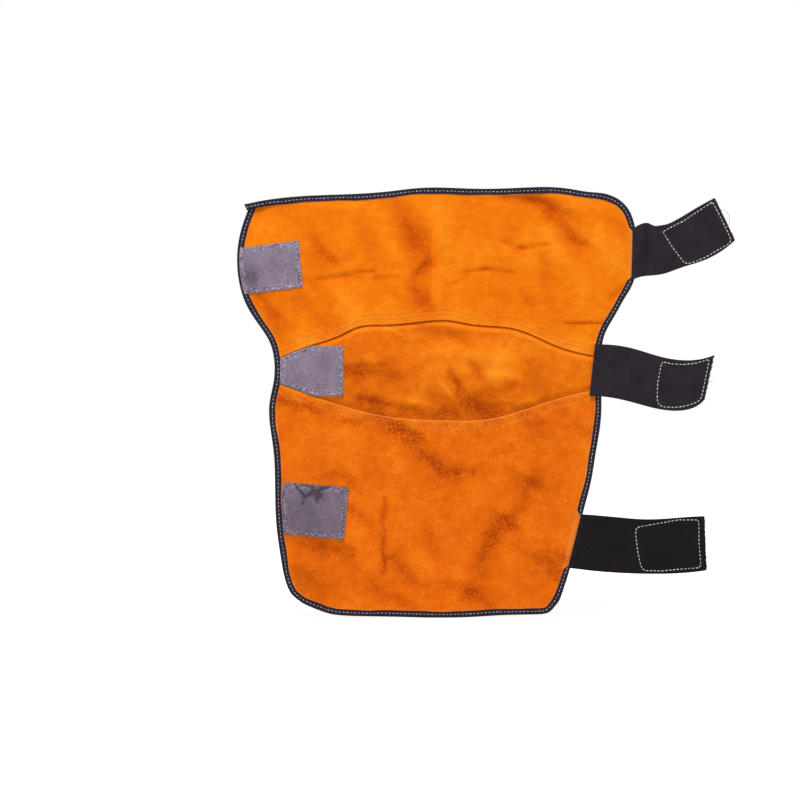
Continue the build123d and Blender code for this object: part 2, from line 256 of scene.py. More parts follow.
# =============================================================================================
# Relief: how far the cloth stands forward of flat, in mm
# =============================================================================================
# Creases and folds: (x, z) of both ends, half width, height and the painted shade laid along them.
# A negative height is a valley. A negative painted shade is a painted highlight along a ridge.
CREASES = [
    # thigh panel
    ((-144, 476), (-129, 456), 6.0, -1.6, 0.7),
    ((-142, 461), (-114, 466), 8.0, 0.8, 0.4),
    ((-138, 432), (-103, 436), 3.6, -1.8, 0.65),
    ((-94, 441), (-75, 441), 2.6, -1.9, 0.7),
    ((-65, 433), (-51, 434), 3.0, -1.4, 0.55),
    ((-159, 429), (-151, 425), 4.0, -0.6, 0.5),
    ((-215, 405), (-202, 388), 6.0, -1.2, 0.7),
    ((-202, 388), (-194, 371), 7.0, 0.9, 0.45),
    ((-161, 395), (-128, 371), 10.0, -0.9, 0.45),
    ((-49, 418), (-42, 411), 5.0, -0.6, 0.45),
    ((-31, 502), (-14, 477), 9.0, -1.1, 0.6),
    ((-37, 530), (-32, 508), 8.0, 0.8, 0.35),
    ((-14, 479), (-14, 431), 11.0, -1.3, 0.4),
    ((-38, 449), (-2, 449), 6.0, -0.4, 0.3),
    ((-13, 442), (-1, 453), 4.0, -1.8, 0.75),
    ((-15, 410), (-4, 398), 7.0, -1.0, 0.6),
    ((12, 522), (12, 396), 8.0, 1.6, -0.3),
    ((99, 536), (146, 530), 6.0, -1.5, 0.55),
    ((130, 532), (177, 512), 7.0, -1.9, 0.55),
    ((157, 514), (185, 481), 7.0, -2.3, 0.7),
    ((185, 481), (200, 473), 6.0, -0.9, 0.5),
    ((95, 479), (118, 471), 3.0, -1.2, 0.5),
    ((118, 471), (149, 475), 3.2, -1.6, 0.6),
    ((46, 441), (71, 444), 2.6, -1.4, 0.5),
    ((71, 444), (106, 440), 3.0, -1.4, 0.5),
    ((32, 426), (48, 436), 3.0, -0.9, 0.35),
    ((239, 414), (247, 420), 4.0, -0.6, 0.6),
    ((177, 375), (222, 375), 2.6, -2.4, 1.0),
    ((168, 422), (171, 420), 6.0, -0.3, 0.3),
    ((123, 408), (126, 404), 5.0, -0.6, 0.35),
    ((222, 510), (239, 502), 6.0, -0.4, 0.3),
    ((147, 461), (149, 434), 5.0, -0.6, 0.35),
    ((67, 526), (71, 494), 7.0, -0.5, 0.3),
    ((149, 485), (173, 449), 9.0, 1.3, -0.3),
    ((188, 519), (225, 461), 12.0, 1.5, -0.3),
    ((-51, 473), (-40, 459), 6.0, 1.0, -0.35),
    ((-108, 405), (-97, 388), 9.0, 0.9, -0.4),
    ((-82, 485), (-80, 480), 9.0, -0.4, 0.3),
    ((-208, 525), (-194, 522), 8.0, -0.4, 0.35),
    # knee gusset
    ((-5, 368), (24, 361), 7.0, -1.0, 0.6),
    ((-26, 351), (-9, 349), 4.0, -0.9, 0.45),
    ((37, 357), (45, 353), 5.0, -0.4, 0.35),
    ((-106, 320), (-63, 320), 5.0, -1.2, 0.5),
    ((-104, 311), (-42, 305), 7.0, -1.6, 0.6),
    ((-46, 287), (-30, 287), 4.0, -0.4, 0.3),
    ((-88, 278), (-71, 274), 5.0, -1.1, 0.6),
    ((-63, 274), (-30, 264), 7.0, -1.7, 0.85),
    ((-9, 264), (24, 260), 6.0, -0.7, 0.6),
    ((28, 311), (37, 289), 3.0, -1.6, 0.6),
    ((37, 297), (58, 268), 4.0, -1.8, 0.7),
    ((45, 266), (68, 264), 7.0, -1.1, 0.8),
    ((58, 318), (64, 309), 4.0, -1.8, 0.7),
    ((64, 282), (103, 293), 7.0, -1.1, 0.6),
    ((74, 270), (120, 268), 6.0, -0.7, 0.5),
    ((4, 282), (24, 280), 5.0, -0.5, 0.4),
    ((124, 322), (137, 305), 9.0, -0.9, 0.3),
    ((-59, 370), (-26, 357), 1.8, 1.0, -0.5),
    ((16, 297), (45, 255), 2.2, 1.9, -0.6),
    ((35, 309), (41, 293), 1.6, 1.0, -0.4),
    ((45, 284), (58, 272), 1.6, 0.9, -0.4),
    ((70, 278), (132, 276), 1.6, 0.7, -0.4),
    ((24, 338), (82, 332), 14.0, 1.5, -0.4),
    ((91, 309), (107, 305), 6.0, 0.9, -0.4),
    ((-38, 276), (-17, 272), 6.0, 0.9, -0.4),
    # shin panel
    ((-190, 275), (-151, 265), 6.0, -1.3, 0.7),
    ((-109, 249), (-92, 249), 4.0, -0.7, 0.45),
    ((-62, 253), (-27, 235), 6.0, -1.1, 0.6),
    ((-41, 239), (-21, 231), 6.0, -1.3, 0.75),
    ((-25, 218), (5, 194), 8.0, -0.9, 0.5),
    ((-123, 182), (-98, 174), 4.0, -0.9, 0.5),
    ((-98, 165), (-90, 161), 4.0, -0.6, 0.5),
    ((-100, 135), (-88, 127), 6.0, -0.9, 0.65),
    ((-59, 149), (-59, 61), 2.2, -1.8, 1.0),
    ((-47, 74), (-25, 53), 6.0, -1.0, 0.6),
    ((-90, 57), (-74, 45), 6.0, -0.5, 0.35),
    ((-127, 86), (-107, 80), 8.0, -0.7, 0.45),
    ((-58, 27), (-33, 17), 6.0, -0.5, 0.4),
    ((-1, 106), (1, 100), 6.0, -0.6, 0.5),
    ((-163, 94), (-115, 88), 6.0, -0.9, 0.45),
    ((-170, 57), (-147, 41), 7.0, -0.5, 0.3),
    ((37, 184), (53, 186), 6.0, -0.9, 0.6),
    ((90, 210), (100, 214), 5.0, -0.5, 0.4),
    ((122, 176), (134, 170), 6.0, -0.9, 0.6),
    ((130, 174), (114, 137), 5.0, -0.5, 0.4),
    ((92, 125), (106, 117), 5.0, -0.8, 0.6),
    ((98, 121), (77, 96), 8.0, -1.0, 0.55),
    ((77, 96), (57, 43), 9.0, -0.9, 0.5),
    ((37, 35), (53, 31), 8.0, -1.1, 0.7),
    ((192, 241), (202, 235), 5.0, -0.9, 0.6),
    ((159, 271), (169, 265), 5.0, -0.5, 0.35),
    ((163, 80), (175, 72), 5.0, -0.9, 0.65),
    ((157, 64), (169, 47), 6.0, -1.1, 0.7),
    ((0, 202), (12, 194), 7.0, -0.8, 0.6),
    ((122, 257), (138, 243), 6.0, -0.5, 0.35),
    ((114, 86), (130, 78), 5.0, -0.5, 0.35),
]


def fold_profile(x, z, start, end, width):
    """1 on a segment, falling off sideways and past its ends."""
    a, b = np.array(start, float), np.array(end, float)
    d = b - a
    length = np.hypot(*d)
    along = ((x - a[0]) * d[0] + (z - a[1]) * d[1]) / length
    across = ((x - a[0]) * d[1] - (z - a[1]) * d[0]) / length
    past = np.maximum(np.maximum(-along, along - length), 0)
    return np.exp(-((across / width) ** 2) - (past / (2.2 * width)) ** 2)


def relief(points):
    """Forward relief of the whole guard at plan points: waves, the knee's dome and the creases."""
    x, z = points[:, 0], points[:, 1]
    out = 0.9 * np.sin(x / 63 + 0.4) * np.cos(z / 81)
    out += 0.7 * np.sin(z / 49 + x / 97 + 1.0)
    out += 0.35 * np.sin(x / 23 + z / 31) * np.sin(z / 27 - x / 41)
    from_knee = (x - KNEE_PLACE[0]) / KNEE_REACH[0], (z - KNEE_PLACE[1]) / KNEE_REACH[1]
    out += KNEE_DOME * np.exp(-(from_knee[0] ** 2) - from_knee[1] ** 2)
    for start, end, width, height, _ in CREASES:
        soft = min(1.0, 0.35 + width / 9.0)
        out += CREASE_DEPTH * soft * height * fold_profile(x, z, start, end, width)
    return out


def ease(t):
    """Smooth 0 to 1."""
    t = np.clip(t, 0, 1)
    return t * t * (3 - 2 * t)


FOLD_X = 1.5  # the packing fold down the thigh panel, mm: painted shade lies on its left, shaded side


def painted_fold_shading(points):
    """Painted shade and highlight at plan points: ragged marks along the creases, shade left of the packing
    fold.
    """
    x, z = points[:, 0], points[:, 1]
    wobbly_x = x + 1.6 * np.sin(z / 6.1 + 1.9 * np.sin(x / 9.3)) + 0.6 * np.sin(z / 2.6 + x / 3.1)
    wobbly_z = z + 1.4 * np.sin(x / 5.7 + 1.7 * np.sin(z / 8.1)) + 0.5 * np.sin(x / 2.4 - z / 2.9)
    out = np.zeros(len(points))
    for start, end, width, _, darkness in CREASES:
        soft = min(1.0, 0.5 + width / 12.0)
        out += soft * darkness * fold_profile(wobbly_x, wobbly_z, start, end, width * 1.5)
    fold = ease((x + 16) / 15) * (x < FOLD_X) * ease((z - 385) / 30) * ease((520 - z) / 60)
    return 0.74 * np.clip(out, -0.8, 1.2) + 0.26 * fold


# =============================================================================================
# Mesh helpers
# =============================================================================================
def in_space(points, level):
    """Plan points at a level in front of the leather's back, in metres."""
    level = np.broadcast_to(level, len(points))
    return np.stack([points[:, 0], -level, points[:, 1] + HEM], axis=1) * MM


def make_object(name, vertices, faces, material, sharp=35.0, **attributes):
    """A mesh object with smooth shading, sharp edges past an angle, and its rest place stored."""
    mesh = bpy.data.meshes.new(name)
    mesh.from_pydata(vertices, [], faces)
    edit = bmesh.new()
    edit.from_mesh(mesh)
    bmesh.ops.recalc_face_normals(edit, faces=edit.faces)
    edit.to_mesh(mesh)
    edit.free()
    mesh.materials.append(material)
    obj = bpy.data.objects.new(name, mesh)
    bpy.context.scene.collection.objects.link(obj)
    mesh.shade_smooth()
    mesh.set_sharp_from_angle(angle=math.radians(sharp))
    rest = mesh.attributes.new("rest", "FLOAT_VECTOR", "POINT")
    rest.data.foreach_set("vector", np.asarray(vertices, np.float32).ravel())
    for key, values in attributes.items():
        store = mesh.attributes.new(key, "FLOAT", "POINT")
        store.data.foreach_set("value", np.asarray(values, np.float32))
    return obj


def inside_polygon(points, border):
    """Which plan points lie inside a closed border."""
    x, z = points[:, 0], points[:, 1]
    hit = np.zeros(len(points), bool)
    for (ax, az), (bx, bz) in zip(border, np.roll(border, -1, axis=0)):
        crosses = (az > z) != (bz > z)
        if crosses.any():
            hit ^= crosses & (x < (bx - ax) * (z - az) / (bz - az + 1e-12) + ax)
    return hit


def border_distance(points, border):
    """Distance of each plan point to the nearest point of a dense border."""
    out = np.full(len(points), 1e9)
    for i in range(0, len(points), 3000):
        gap = np.linalg.norm(points[i : i + 3000, None, :] - border[None, :, :], axis=2)
        out[i : i + 3000] = gap.min(1)
    return out


def fill(border, spacing, seed):
    """Triangles over a closed border, on a staggered grid. Returns points, faces and border edges."""
    rng = np.random.default_rng(seed)
    low, high = border.min(0), border.max(0)
    rows = np.arange(low[1], high[1], spacing * 0.87)
    grid = []
    for i, z in enumerate(rows):
        xs = np.arange(low[0] + (i % 2) * spacing / 2, high[0], spacing)
        grid.append(np.stack([xs, np.full(len(xs), z)], axis=1))
    grid = np.vstack(grid)
    grid += rng.uniform(-0.12, 0.12, grid.shape) * spacing
    grid = grid[inside_polygon(grid, border)]
    grid = grid[border_distance(grid, border) > 0.6 * spacing]
    points = [tuple(p) for p in np.vstack([border, grid])]
    points, _, faces, *_ = delaunay_2d_cdt(points, [], [list(range(len(border)))], 1, 1e-5)
    points = np.array([tuple(p) for p in points])
    faces = [list(f) for f in faces]
    used = {}
    for face in faces:
        for a, b in zip(face, face[1:] + face[:1]):
            used[(a, b)] = True
    rim = [(a, b) for a, b in used if (b, a) not in used]
    return points, faces, rim


def slab(border, spacing, seed, front, back):
    """A closed layer over a border. front and back give levels at plan points.

    Returns the plan points, and the vertices and faces of both sides and the wall between them.
    """
    points, faces, rim = fill(border, spacing, seed)
    count = len(points)
    vertices = np.vstack([in_space(points, front(points)), in_space(points, back(points))])
    behind = [[i + count for i in reversed(face)] for face in faces]
    walls = [[b, a, a + count, b + count] for a, b in rim]
    return points, vertices, faces + behind + walls


def sheet(name, border, front, back, material, spacing=SHEET_GRID, seed=1, extra=None):
    """A closed cloth sheet over a border, as a piece."""
    points, vertices, faces = slab(border, spacing, seed, front, back)
    # By default the dark attribute holds the painted shade and painted highlight of the folds.
    values = {"dark": np.tile(painted_fold_shading(points), 2)}
    for key, of in (extra or {}).items():
        values[key] = np.tile(of(points), 2)
    return make_object(name, vertices, faces, material, **values)


def sweep(path, inward, profile, shift_of):
    """Vertices and faces of a closed profile carried along a plan path, with capped ends.

    profile holds (distance inwards, level). shift_of(points, level) is what is added to a level.
    """
    rings, ring = len(path), len(profile)
    vertices = []
    for inset, level in profile:
        at = path + inward * inset
        vertices.append(in_space(at, level + shift_of(at, level)))
    vertices = np.stack(vertices, axis=1).reshape(-1, 3)
    faces = []
    for i in range(rings - 1):
        for j in range(ring):
            k = (j + 1) % ring
            faces.append([i * ring + j, i * ring + k, (i + 1) * ring + k, (i + 1) * ring + j])
    faces.append(list(range(ring))[::-1])
    faces.append([(rings - 1) * ring + j for j in range(ring)])
    return vertices, faces


class Parts:
    """Collects vertices and faces of many small shapes into one mesh."""

    def __init__(self):
        self.vertices, self.faces, self.count = [], [], 0
        self.shade = []

    def add(self, vertices, faces, shade=0.0):
        vertices = np.asarray(vertices, float)
        self.vertices.append(vertices)
        self.faces += [[i + self.count for i in face] for face in faces]
        self.count += len(vertices)
        self.shade.append(np.full(len(vertices), shade))

    def build(self, name, material, sharp=60.0):
        shade = np.concatenate(self.shade)
        return make_object(name, np.vstack(self.vertices), self.faces, material, sharp, shade=shade)


def tube(points, radius, sides=6):
    """A round thread along points in metres. radius may vary along it. The ends are closed."""
    points = np.asarray(points, float)
    radius = np.broadcast_to(radius, len(points))
    along = np.gradient(points, axis=0)
    along /= np.linalg.norm(along, axis=1)[:, None] + 1e-12
    up = np.array([0.0, 0.0, 1.0]) if abs(along[0][2]) < 0.9 else np.array([1.0, 0.0, 0.0])
    vertices = []
    for p, t, r in zip(points, along, radius):
        side = np.cross(t, up)
        side /= np.linalg.norm(side)
        up = np.cross(side, t)
        angles = np.arange(sides) * 2 * math.pi / sides
        ring = p + r * (np.cos(angles)[:, None] * side + np.sin(angles)[:, None] * up)
        vertices.append(ring)
    return np.vstack(vertices), ring_faces(len(points), sides)


STITCH_RINGS = 6
STITCH_SIDES = 6


def ring_faces(rings, sides):
    """Faces of one closed tube: its wall and both ends."""
    faces = []
    for i in range(rings - 1):
        for j in range(sides):
            k = (j + 1) % sides
            faces.append([i * sides + j, (i + 1) * sides + j, (i + 1) * sides + k, i * sides + k])
    faces.append(list(range(sides)))
    faces.append([(rings - 1) * sides + j for j in range(sides)][::-1])
    return faces


def stitch_shapes(starts, ends, outward, radius):
    """Sewn stitches as one array (stitch, vertex, xyz). Each comes out of the cloth and goes back in."""
    t = np.linspace(0, 1, STITCH_RINGS)[None, :, None]
    line = starts[:, None, :] + (ends - starts)[:, None, :] * t
    rise = (1 - (2 * t - 1) ** 4) * 1.12 - 0.9
    line = line + outward * rise * radius[:, None, None]
    along = (ends - starts) / np.linalg.norm(ends - starts, axis=1)[:, None]
    sideways = np.cross(along, outward)
    thick = radius[:, None, None, None] * (0.72 + 0.28 * np.sin(math.pi * t))[..., None]
    angles = (np.arange(STITCH_SIDES) * 2 * math.pi / STITCH_SIDES)[None, None, :, None]
    ring = np.cos(angles) * sideways[:, None, None, :] + np.sin(angles) * outward
    shape = line[:, :, None, :] + thick * ring
    return shape.reshape(len(starts), -1, 3)


def sew(parts, path, level_of, pitch, radius, seed, front=True, length=0.78, wobble=0.12):
    """A row of stitches along a plan path. level_of gives the cloth's surface at plan points."""
    rng = np.random.default_rng(seed)
    path = resample(path, pitch)
    outward = np.array([0.0, -1.0 if front else 1.0, 0.0])
    a, step = path[:-1], np.diff(path, axis=0)
    starts = a + step * (0.5 - length / 2) + rng.normal(0, wobble, a.shape)
    ends = a + step * (0.5 + length / 2) + rng.normal(0, wobble, a.shape)
    starts, ends = in_space(starts, level_of(starts)), in_space(ends, level_of(ends))
    thick = radius * MM * rng.uniform(0.9, 1.1, len(a))
    faces = ring_faces(STITCH_RINGS, STITCH_SIDES)
    for vertices, tone in zip(stitch_shapes(starts, ends, outward, thick), rng.uniform(-1, 1, len(a))):
        parts.add(vertices, faces, tone)


# =============================================================================================
# Materials
# =============================================================================================
class Graph:
    """A short way to write a node material."""

    def __init__(self, name):
        self.material = bpy.data.materials.new(name)
        self.material.use_nodes = True
        self.tree = self.material.node_tree
        self.shader = self.tree.nodes["Principled BSDF"]

    def node(self, kind, **settings):
        new = self.tree.nodes.new(kind)
        inputs = settings.pop("inputs", {})
        for key, value in settings.items():
            setattr(new, key, value)
        for key, value in inputs.items():
            self.put(value, new.inputs[key])
        return new

    def put(self, value, socket):
        if isinstance(value, bpy.types.NodeSocket):
            self.tree.links.new(value, socket)
        else:
            socket.default_value = value

    def attribute(self, name, output="Fac"):
        return self.node("ShaderNodeAttribute", attribute_name=name).outputs[output]

    def place(self, scale):
        """The rest place, scaled: textures stay put when the cloth bends."""
        rest = self.attribute("rest", "Vector")
        scaled = self.node("ShaderNodeVectorMath", operation="MULTIPLY", inputs={0: rest, 1: scale})
        return scaled.outputs[0]

    def noise(self, scale, detail=4.0, roughness=0.55, stretch=(1, 1, 1)):
        vector = self.place(stretch)
        inputs = {"Vector": vector, "Scale": scale, "Detail": detail, "Roughness": roughness}
        return self.node("ShaderNodeTexNoise", inputs=inputs).outputs["Fac"]

    def math(self, operation, a, b=0.0, clamp=False):
        made = self.node("ShaderNodeMath", operation=operation, use_clamp=clamp)
        self.put(a, made.inputs[0])
        self.put(b, made.inputs[1])
        return made.outputs[0]

    def spread(self, value, low, high, new_low=0.0, new_high=1.0):
        inputs = {0: value, 1: low, 2: high, 3: new_low, 4: new_high}
        return self.node("ShaderNodeMapRange", inputs=inputs).outputs[0]

    def mix(self, factor, a, b, blend="MIX"):
        made = self.node("ShaderNodeMix", data_type="RGBA", blend_type=blend)
        self.put(factor, made.inputs[0])
        self.put(a, made.inputs[6])
        self.put(b, made.inputs[7])
        return made.outputs[2]

    def bump(self, height, distance, strength=1.0, normal=None):
        inputs = {"Height": height, "Distance": distance, "Strength": strength}
        if normal is not None:
            inputs["Normal"] = normal
        return self.node("ShaderNodeBump", inputs=inputs).outputs[0]

    def finish(self, color, normal=None, roughness=0.9, specular=0.15, sheen=0.0, tint=None):
        self.put(color, self.shader.inputs["Base Color"])
        self.put(roughness, self.shader.inputs["Roughness"])
        self.put(specular, self.shader.inputs["Specular IOR Level"])
        self.put(sheen, self.shader.inputs["Sheen Weight"])
        self.put(0.6, self.shader.inputs["Sheen Roughness"])
        if tint is not None:
            self.put(tint, self.shader.inputs["Sheen Tint"])
        if normal is not None:
            self.put(normal, self.shader.inputs["Normal"])
        return self.material


def srgb(red, green, blue):
    """A linear colour from 0 to 255 display values."""
    linear = []
    for value in (red, green, blue):
        v = value / 255
        linear.append(v / 12.92 if v < 0.04045 else ((v + 0.055) / 1.055) ** 2.4)
    return (*linear, 1.0)


def press_seam_rows(g, tone, fleck):
    """A lighter strip along a panel's seam, with a broken line of painted shade at each row of its stitches,
    where the thread presses a groove.
    """
    tone = g.math("ADD", tone, g.spread(g.attribute("cut"), 13.0, 17.0, 0.16, 0.0))
    for row in SEAM_ROWS:
        off = g.math("ABSOLUTE", g.math("SUBTRACT", g.attribute("cut"), row))
        broken = g.spread(fleck, 0.4, 0.6, 1.4, 0.0)
        # Painted shade in the stitch row's groove and needle holes.
        painted_groove_shade = g.math("MULTIPLY", g.spread(off, 0.4, 1.6, 0.5, 0.0), broken)
        tone = g.math("SUBTRACT", tone, painted_groove_shade)
    return tone


def suede(name, dark, middle, light, pale_edge_and_highlight, flecks):
    """Split leather: cloudy dye, flecked nap, painted shade in the creases, a pale cut edge that is partly
    painted highlight, pressed seam rows.
    """
    g = Graph(name)
    cloud = g.noise(17.0, 3.0)
    blotch = g.noise(75.0, 4.0, 0.6, (1, 1, 1.3))
    fleck = g.noise(560.0, 3.0, 0.62, (0.8, 1, 1))
    nap = g.noise(1250.0, 3.0, 0.7)
    patchy = g.noise(34.0, 3.0)
    # The dark attribute is painted shade along the creases; the flecks show more there.
    tone_mark = g.math("MULTIPLY", g.attribute("dark"), 1.6)
    rough = g.math("MAXIMUM", g.spread(patchy, 0.44, 0.62, 0.35, 1.0), tone_mark)
    speck = g.math("MULTIPLY", g.spread(fleck, 0.36, 0.64, -flecks, flecks), rough)
    tone = g.math("ADD", g.spread(cloud, 0.3, 0.7, -0.26, 0.26), g.spread(blotch, 0.3, 0.7, -0.18, 0.18))
    tone = g.math("ADD", tone, speck)
    tone = g.math("ADD", tone, g.spread(nap, 0.25, 0.75, -0.14, 0.14))
    # Painted shade from the dark attribute, made ragged by the flecks.
    ragged = g.math("MULTIPLY", g.attribute("dark"), g.spread(fleck, 0.36, 0.64, 1.3, 0.7))
    tone = g.math("SUBTRACT", tone, ragged)
    tone = press_seam_rows(g, tone, fleck)
    low = g.mix(g.spread(tone, -1.0, 0.0), dark, middle)
    color = g.mix(g.spread(tone, 0.0, 0.7), low, light)
    # The cut edge is paler: partly the raw leather, partly painted highlight where the shin's top edge faces
    # the light.
    by_cut = g.spread(g.attribute("cut"), 0.0, 2.2, pale_edge_and_highlight, 0.0)
    by_binding = g.spread(g.attribute("edge"), 8.0, 10.4, 0.45, 0.0)
    edge = g.math("MULTIPLY", g.math("MAXIMUM", by_cut, by_binding), g.spread(nap, 0.3, 0.7, 0.4, 1.0))
    color = g.mix(edge, color, srgb(250, 164, 84))
    normal = g.bump(fleck, 0.0009, 0.6, g.bump(nap, 0.0004, 0.5))
    normal = g.bump(blotch, 0.0022, 0.5, normal)
    return g.finish(color, normal, 0.95, 0.03, 0.04, (1.0, 0.62, 0.3, 1))


def woven(name, color, light, ridges, weave=1.0):
    """Woven tape: fine diagonal ribs over a dark dye."""
    g = Graph(name)
    at = g.place((1, 0, 1))
    ribs = g.node("ShaderNodeTexWave", wave_type="BANDS", bands_direction="DIAGONAL")
    g.put(at, ribs.inputs["Vector"])
    g.put(ridges, ribs.inputs["Scale"])
    g.put(0.6, ribs.inputs["Distortion"])
    grain = g.noise(900.0, 3.0)
    dust = g.noise(60.0, 4.0)
    shade = g.math("MULTIPLY", ribs.outputs["Fac"], g.spread(grain, 0.3, 0.7, 0.4, 1.0))
    tone = g.mix(g.math("MULTIPLY", shade, g.spread(dust, 0.35, 0.65, 0.35, 1.0)), color, light)
    normal = g.bump(ribs.outputs["Fac"], 0.00025 * weave, 0.7, g.bump(grain, 0.0003, 0.5))
    return g.finish(tone, normal, 0.85, 0.15, 0.05)


def elastic(name, color, light):
    """Ribbed elastic: ribs across the strap, crossed by fine warp threads."""
    g = Graph(name)
    across = g.attribute("rib")
    grain = g.noise(1100.0, 2.0)
    cloud = g.noise(45.0, 3.0)
    warp = g.node("ShaderNodeTexWave", wave_type="BANDS", bands_direction="Z")
    g.put(g.place((1, 1, 1)), warp.inputs["Vector"])
    g.put(420.0, warp.inputs["Scale"])
    g.put(1.5, warp.inputs["Distortion"])
    shade = g.math("MULTIPLY", g.spread(across, -1, 1, 0.15, 1.0), g.spread(grain, 0.3, 0.7, 0.35, 1.0))
    shade = g.math("MULTIPLY", shade, g.spread(cloud, 0.35, 0.65, 0.55, 1.0))
    tone = g.mix(shade, color, light)
    normal = g.bump(warp.outputs["Fac"], 0.00018, 0.5, g.bump(grain, 0.00025, 0.6))
    return g.finish(tone, normal, 0.85, 0.12, 0.05)


def loop_pile(name, dark, light):
    """Brushed loop pile: matted fine loops, speckled along the sewn ring."""
    g = Graph(name)
    curls = g.node("ShaderNodeTexVoronoi", feature="F1")
    g.put(g.place((1, 1, 1)), curls.inputs["Vector"])
    g.put(1000.0, curls.inputs["Scale"])
    tuft = g.noise(480.0, 4.0, 0.7, (1, 1, 0.6))
    cloud = g.noise(60.0, 3.0, stretch=(1, 1, 0.5))
    speckle = g.noise(480.0, 2.0, 0.6)
    tone = g.math("ADD", g.spread(tuft, 0.25, 0.75, 0.18, 0.66), g.spread(cloud, 0.3, 0.7, -0.06, 0.14))
    speckled = g.math("MULTIPLY", g.attribute("ring"), g.spread(speckle, 0.35, 0.65, -0.9, 1.15))
    tone = g.math("ADD", tone, speckled)
    # The dark attribute brings painted shade of the groove and puckers.
    tone = g.math("SUBTRACT", tone, g.attribute("dark"), clamp=True)
    color = g.mix(tone, dark, light)
    normal = g.bump(curls.outputs["Distance"], 0.0004, 0.6, g.bump(tuft, 0.0006, 0.6))
    return g.finish(color, normal, 0.95, 0.06, 0.12, (0.9, 0.85, 1.0, 1))


def thread(name, dark, light):
    """Sewing thread. Each stitch has its own tone."""
    g = Graph(name)
    grain = g.noise(2500.0, 2.0)
    own_tone = g.spread(g.attribute("shade"), -1, 1, 0.15, 0.75)
    tone = g.math("ADD", own_tone, g.spread(grain, 0.3, 0.7, -0.2, 0.25))
    color = g.mix(g.math("ADD", tone, 0.0, clamp=True), dark, light)
    return g.finish(color, g.bump(grain, 0.00015, 0.6), 0.65, 0.3, 0.1)


def plastic_hooks(name):
    """Moulded hooks and their woven ground."""
    g = Graph(name)
    grain = g.noise(900.0, 2.0)
    color = g.mix(g.spread(grain, 0.3, 0.7), srgb(24, 22, 27), srgb(52, 49, 56))
    return g.finish(color, g.bump(grain, 0.0002, 0.5), 0.45, 0.4)


# The shin's pale cut edge is strongest because its top edge also gets painted highlight.
THIGH_SUEDE = suede("suede_thigh", srgb(198, 78, 6), srgb(240, 122, 11), srgb(255, 153, 32), 0.3, 0.10)
KNEE_SUEDE = suede("suede_knee", srgb(170, 60, 6), srgb(232, 114, 13), srgb(255, 150, 32), 0.0, 0.20)
SHIN_SUEDE = suede("suede_shin", srgb(172, 62, 6), srgb(234, 111, 13), srgb(252, 143, 32), 0.85, 0.27)
TAPE_CLOTH = woven("binding_tape", srgb(26, 22, 32), srgb(60, 53, 70), 330.0)
PALE_THREAD = thread("pale_thread", srgb(112, 103, 120), srgb(190, 182, 196))
WHITE_THREAD = thread("white_thread", srgb(170, 165, 172), srgb(245, 243, 245))
ORANGE_THREAD = thread("orange_thread", srgb(222, 112, 20), srgb(255, 172, 72))
LILAC_THREAD = thread("lilac_thread", srgb(104, 96, 116), srgb(184, 176, 196))
DARK_THREAD = thread("dark_thread", srgb(20, 17, 22), srgb(46, 40, 48))
LOOP_UPPER = loop_pile("loop_upper", srgb(92, 80, 96), srgb(172, 158, 176))
LOOP_LOWER = loop_pile("loop_lower", srgb(78, 68, 80), srgb(152, 138, 154))
ELASTIC_UPPER = elastic("elastic_upper", srgb(22, 18, 23), srgb(62, 54, 64))
ELASTIC_LOWER = elastic("elastic_lower", srgb(12, 9, 12), srgb(38, 32, 37))
HOOKS = plastic_hooks("hook_tape")


# =============================================================================================
# Hinge places, and hiding the CAD nodes that pieces stand for
# =============================================================================================
def joint_place(name):
    """A hinge's point and the direction across it in the guard's plane, in metres."""
    joint = JOINTS[name]
    axis = joint["axis"]
    across = np.array([abs(axis[2]), 0.0, -axis[0] * math.copysign(1, axis[2])])
    return np.array(joint["pos_m"]), across


def dress(piece, nodes):
    """Hides the CAD nodes a piece stands for."""
    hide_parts(*nodes)
    return piece


def bend_at_wing(piece, side):
    """Bakes the piece's placement into its mesh. The side's wrap hinge is looked up but not used."""
    place, across = joint_place(f"{SIDES[side]}_wrap")
    across = across if side == "right" else -across
    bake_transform(piece)


def bend_at_strap(piece):
    """Bakes the piece's placement into its mesh."""
    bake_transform(piece)


def bend_at_tip(piece):
    """Bakes the piece's placement into its mesh, as bend_at_strap does."""
    bend_at_strap(piece)


# =============================================================================================
# Leather
# =============================================================================================
def seam_ends(seam):
    """Where the outline crosses a seam: its index at the left and at the right."""
    off = np.abs(OUTLINE[:, 1] - seam_height(seam, OUTLINE[:, 0]))
    left = np.where(OUTLINE[:, 0] < 0, off, 1e9)
    right = np.where(OUTLINE[:, 0] > 0, off, 1e9)
    return int(np.argmin(left)), int(np.argmin(right))


def seam_path(seam, shift_of, edge_inset=2.5):
    """A line along a seam from left to right, shifted upwards by shift_of(points)."""
    left, right = seam_ends(seam)
    x = np.arange(OUTLINE[left][0] + edge_inset, OUTLINE[right][0] - edge_inset, 1.7)
    line = np.stack([x, seam_height(seam, x)], axis=1)
    line[:, 1] += shift_of(line)
    return line


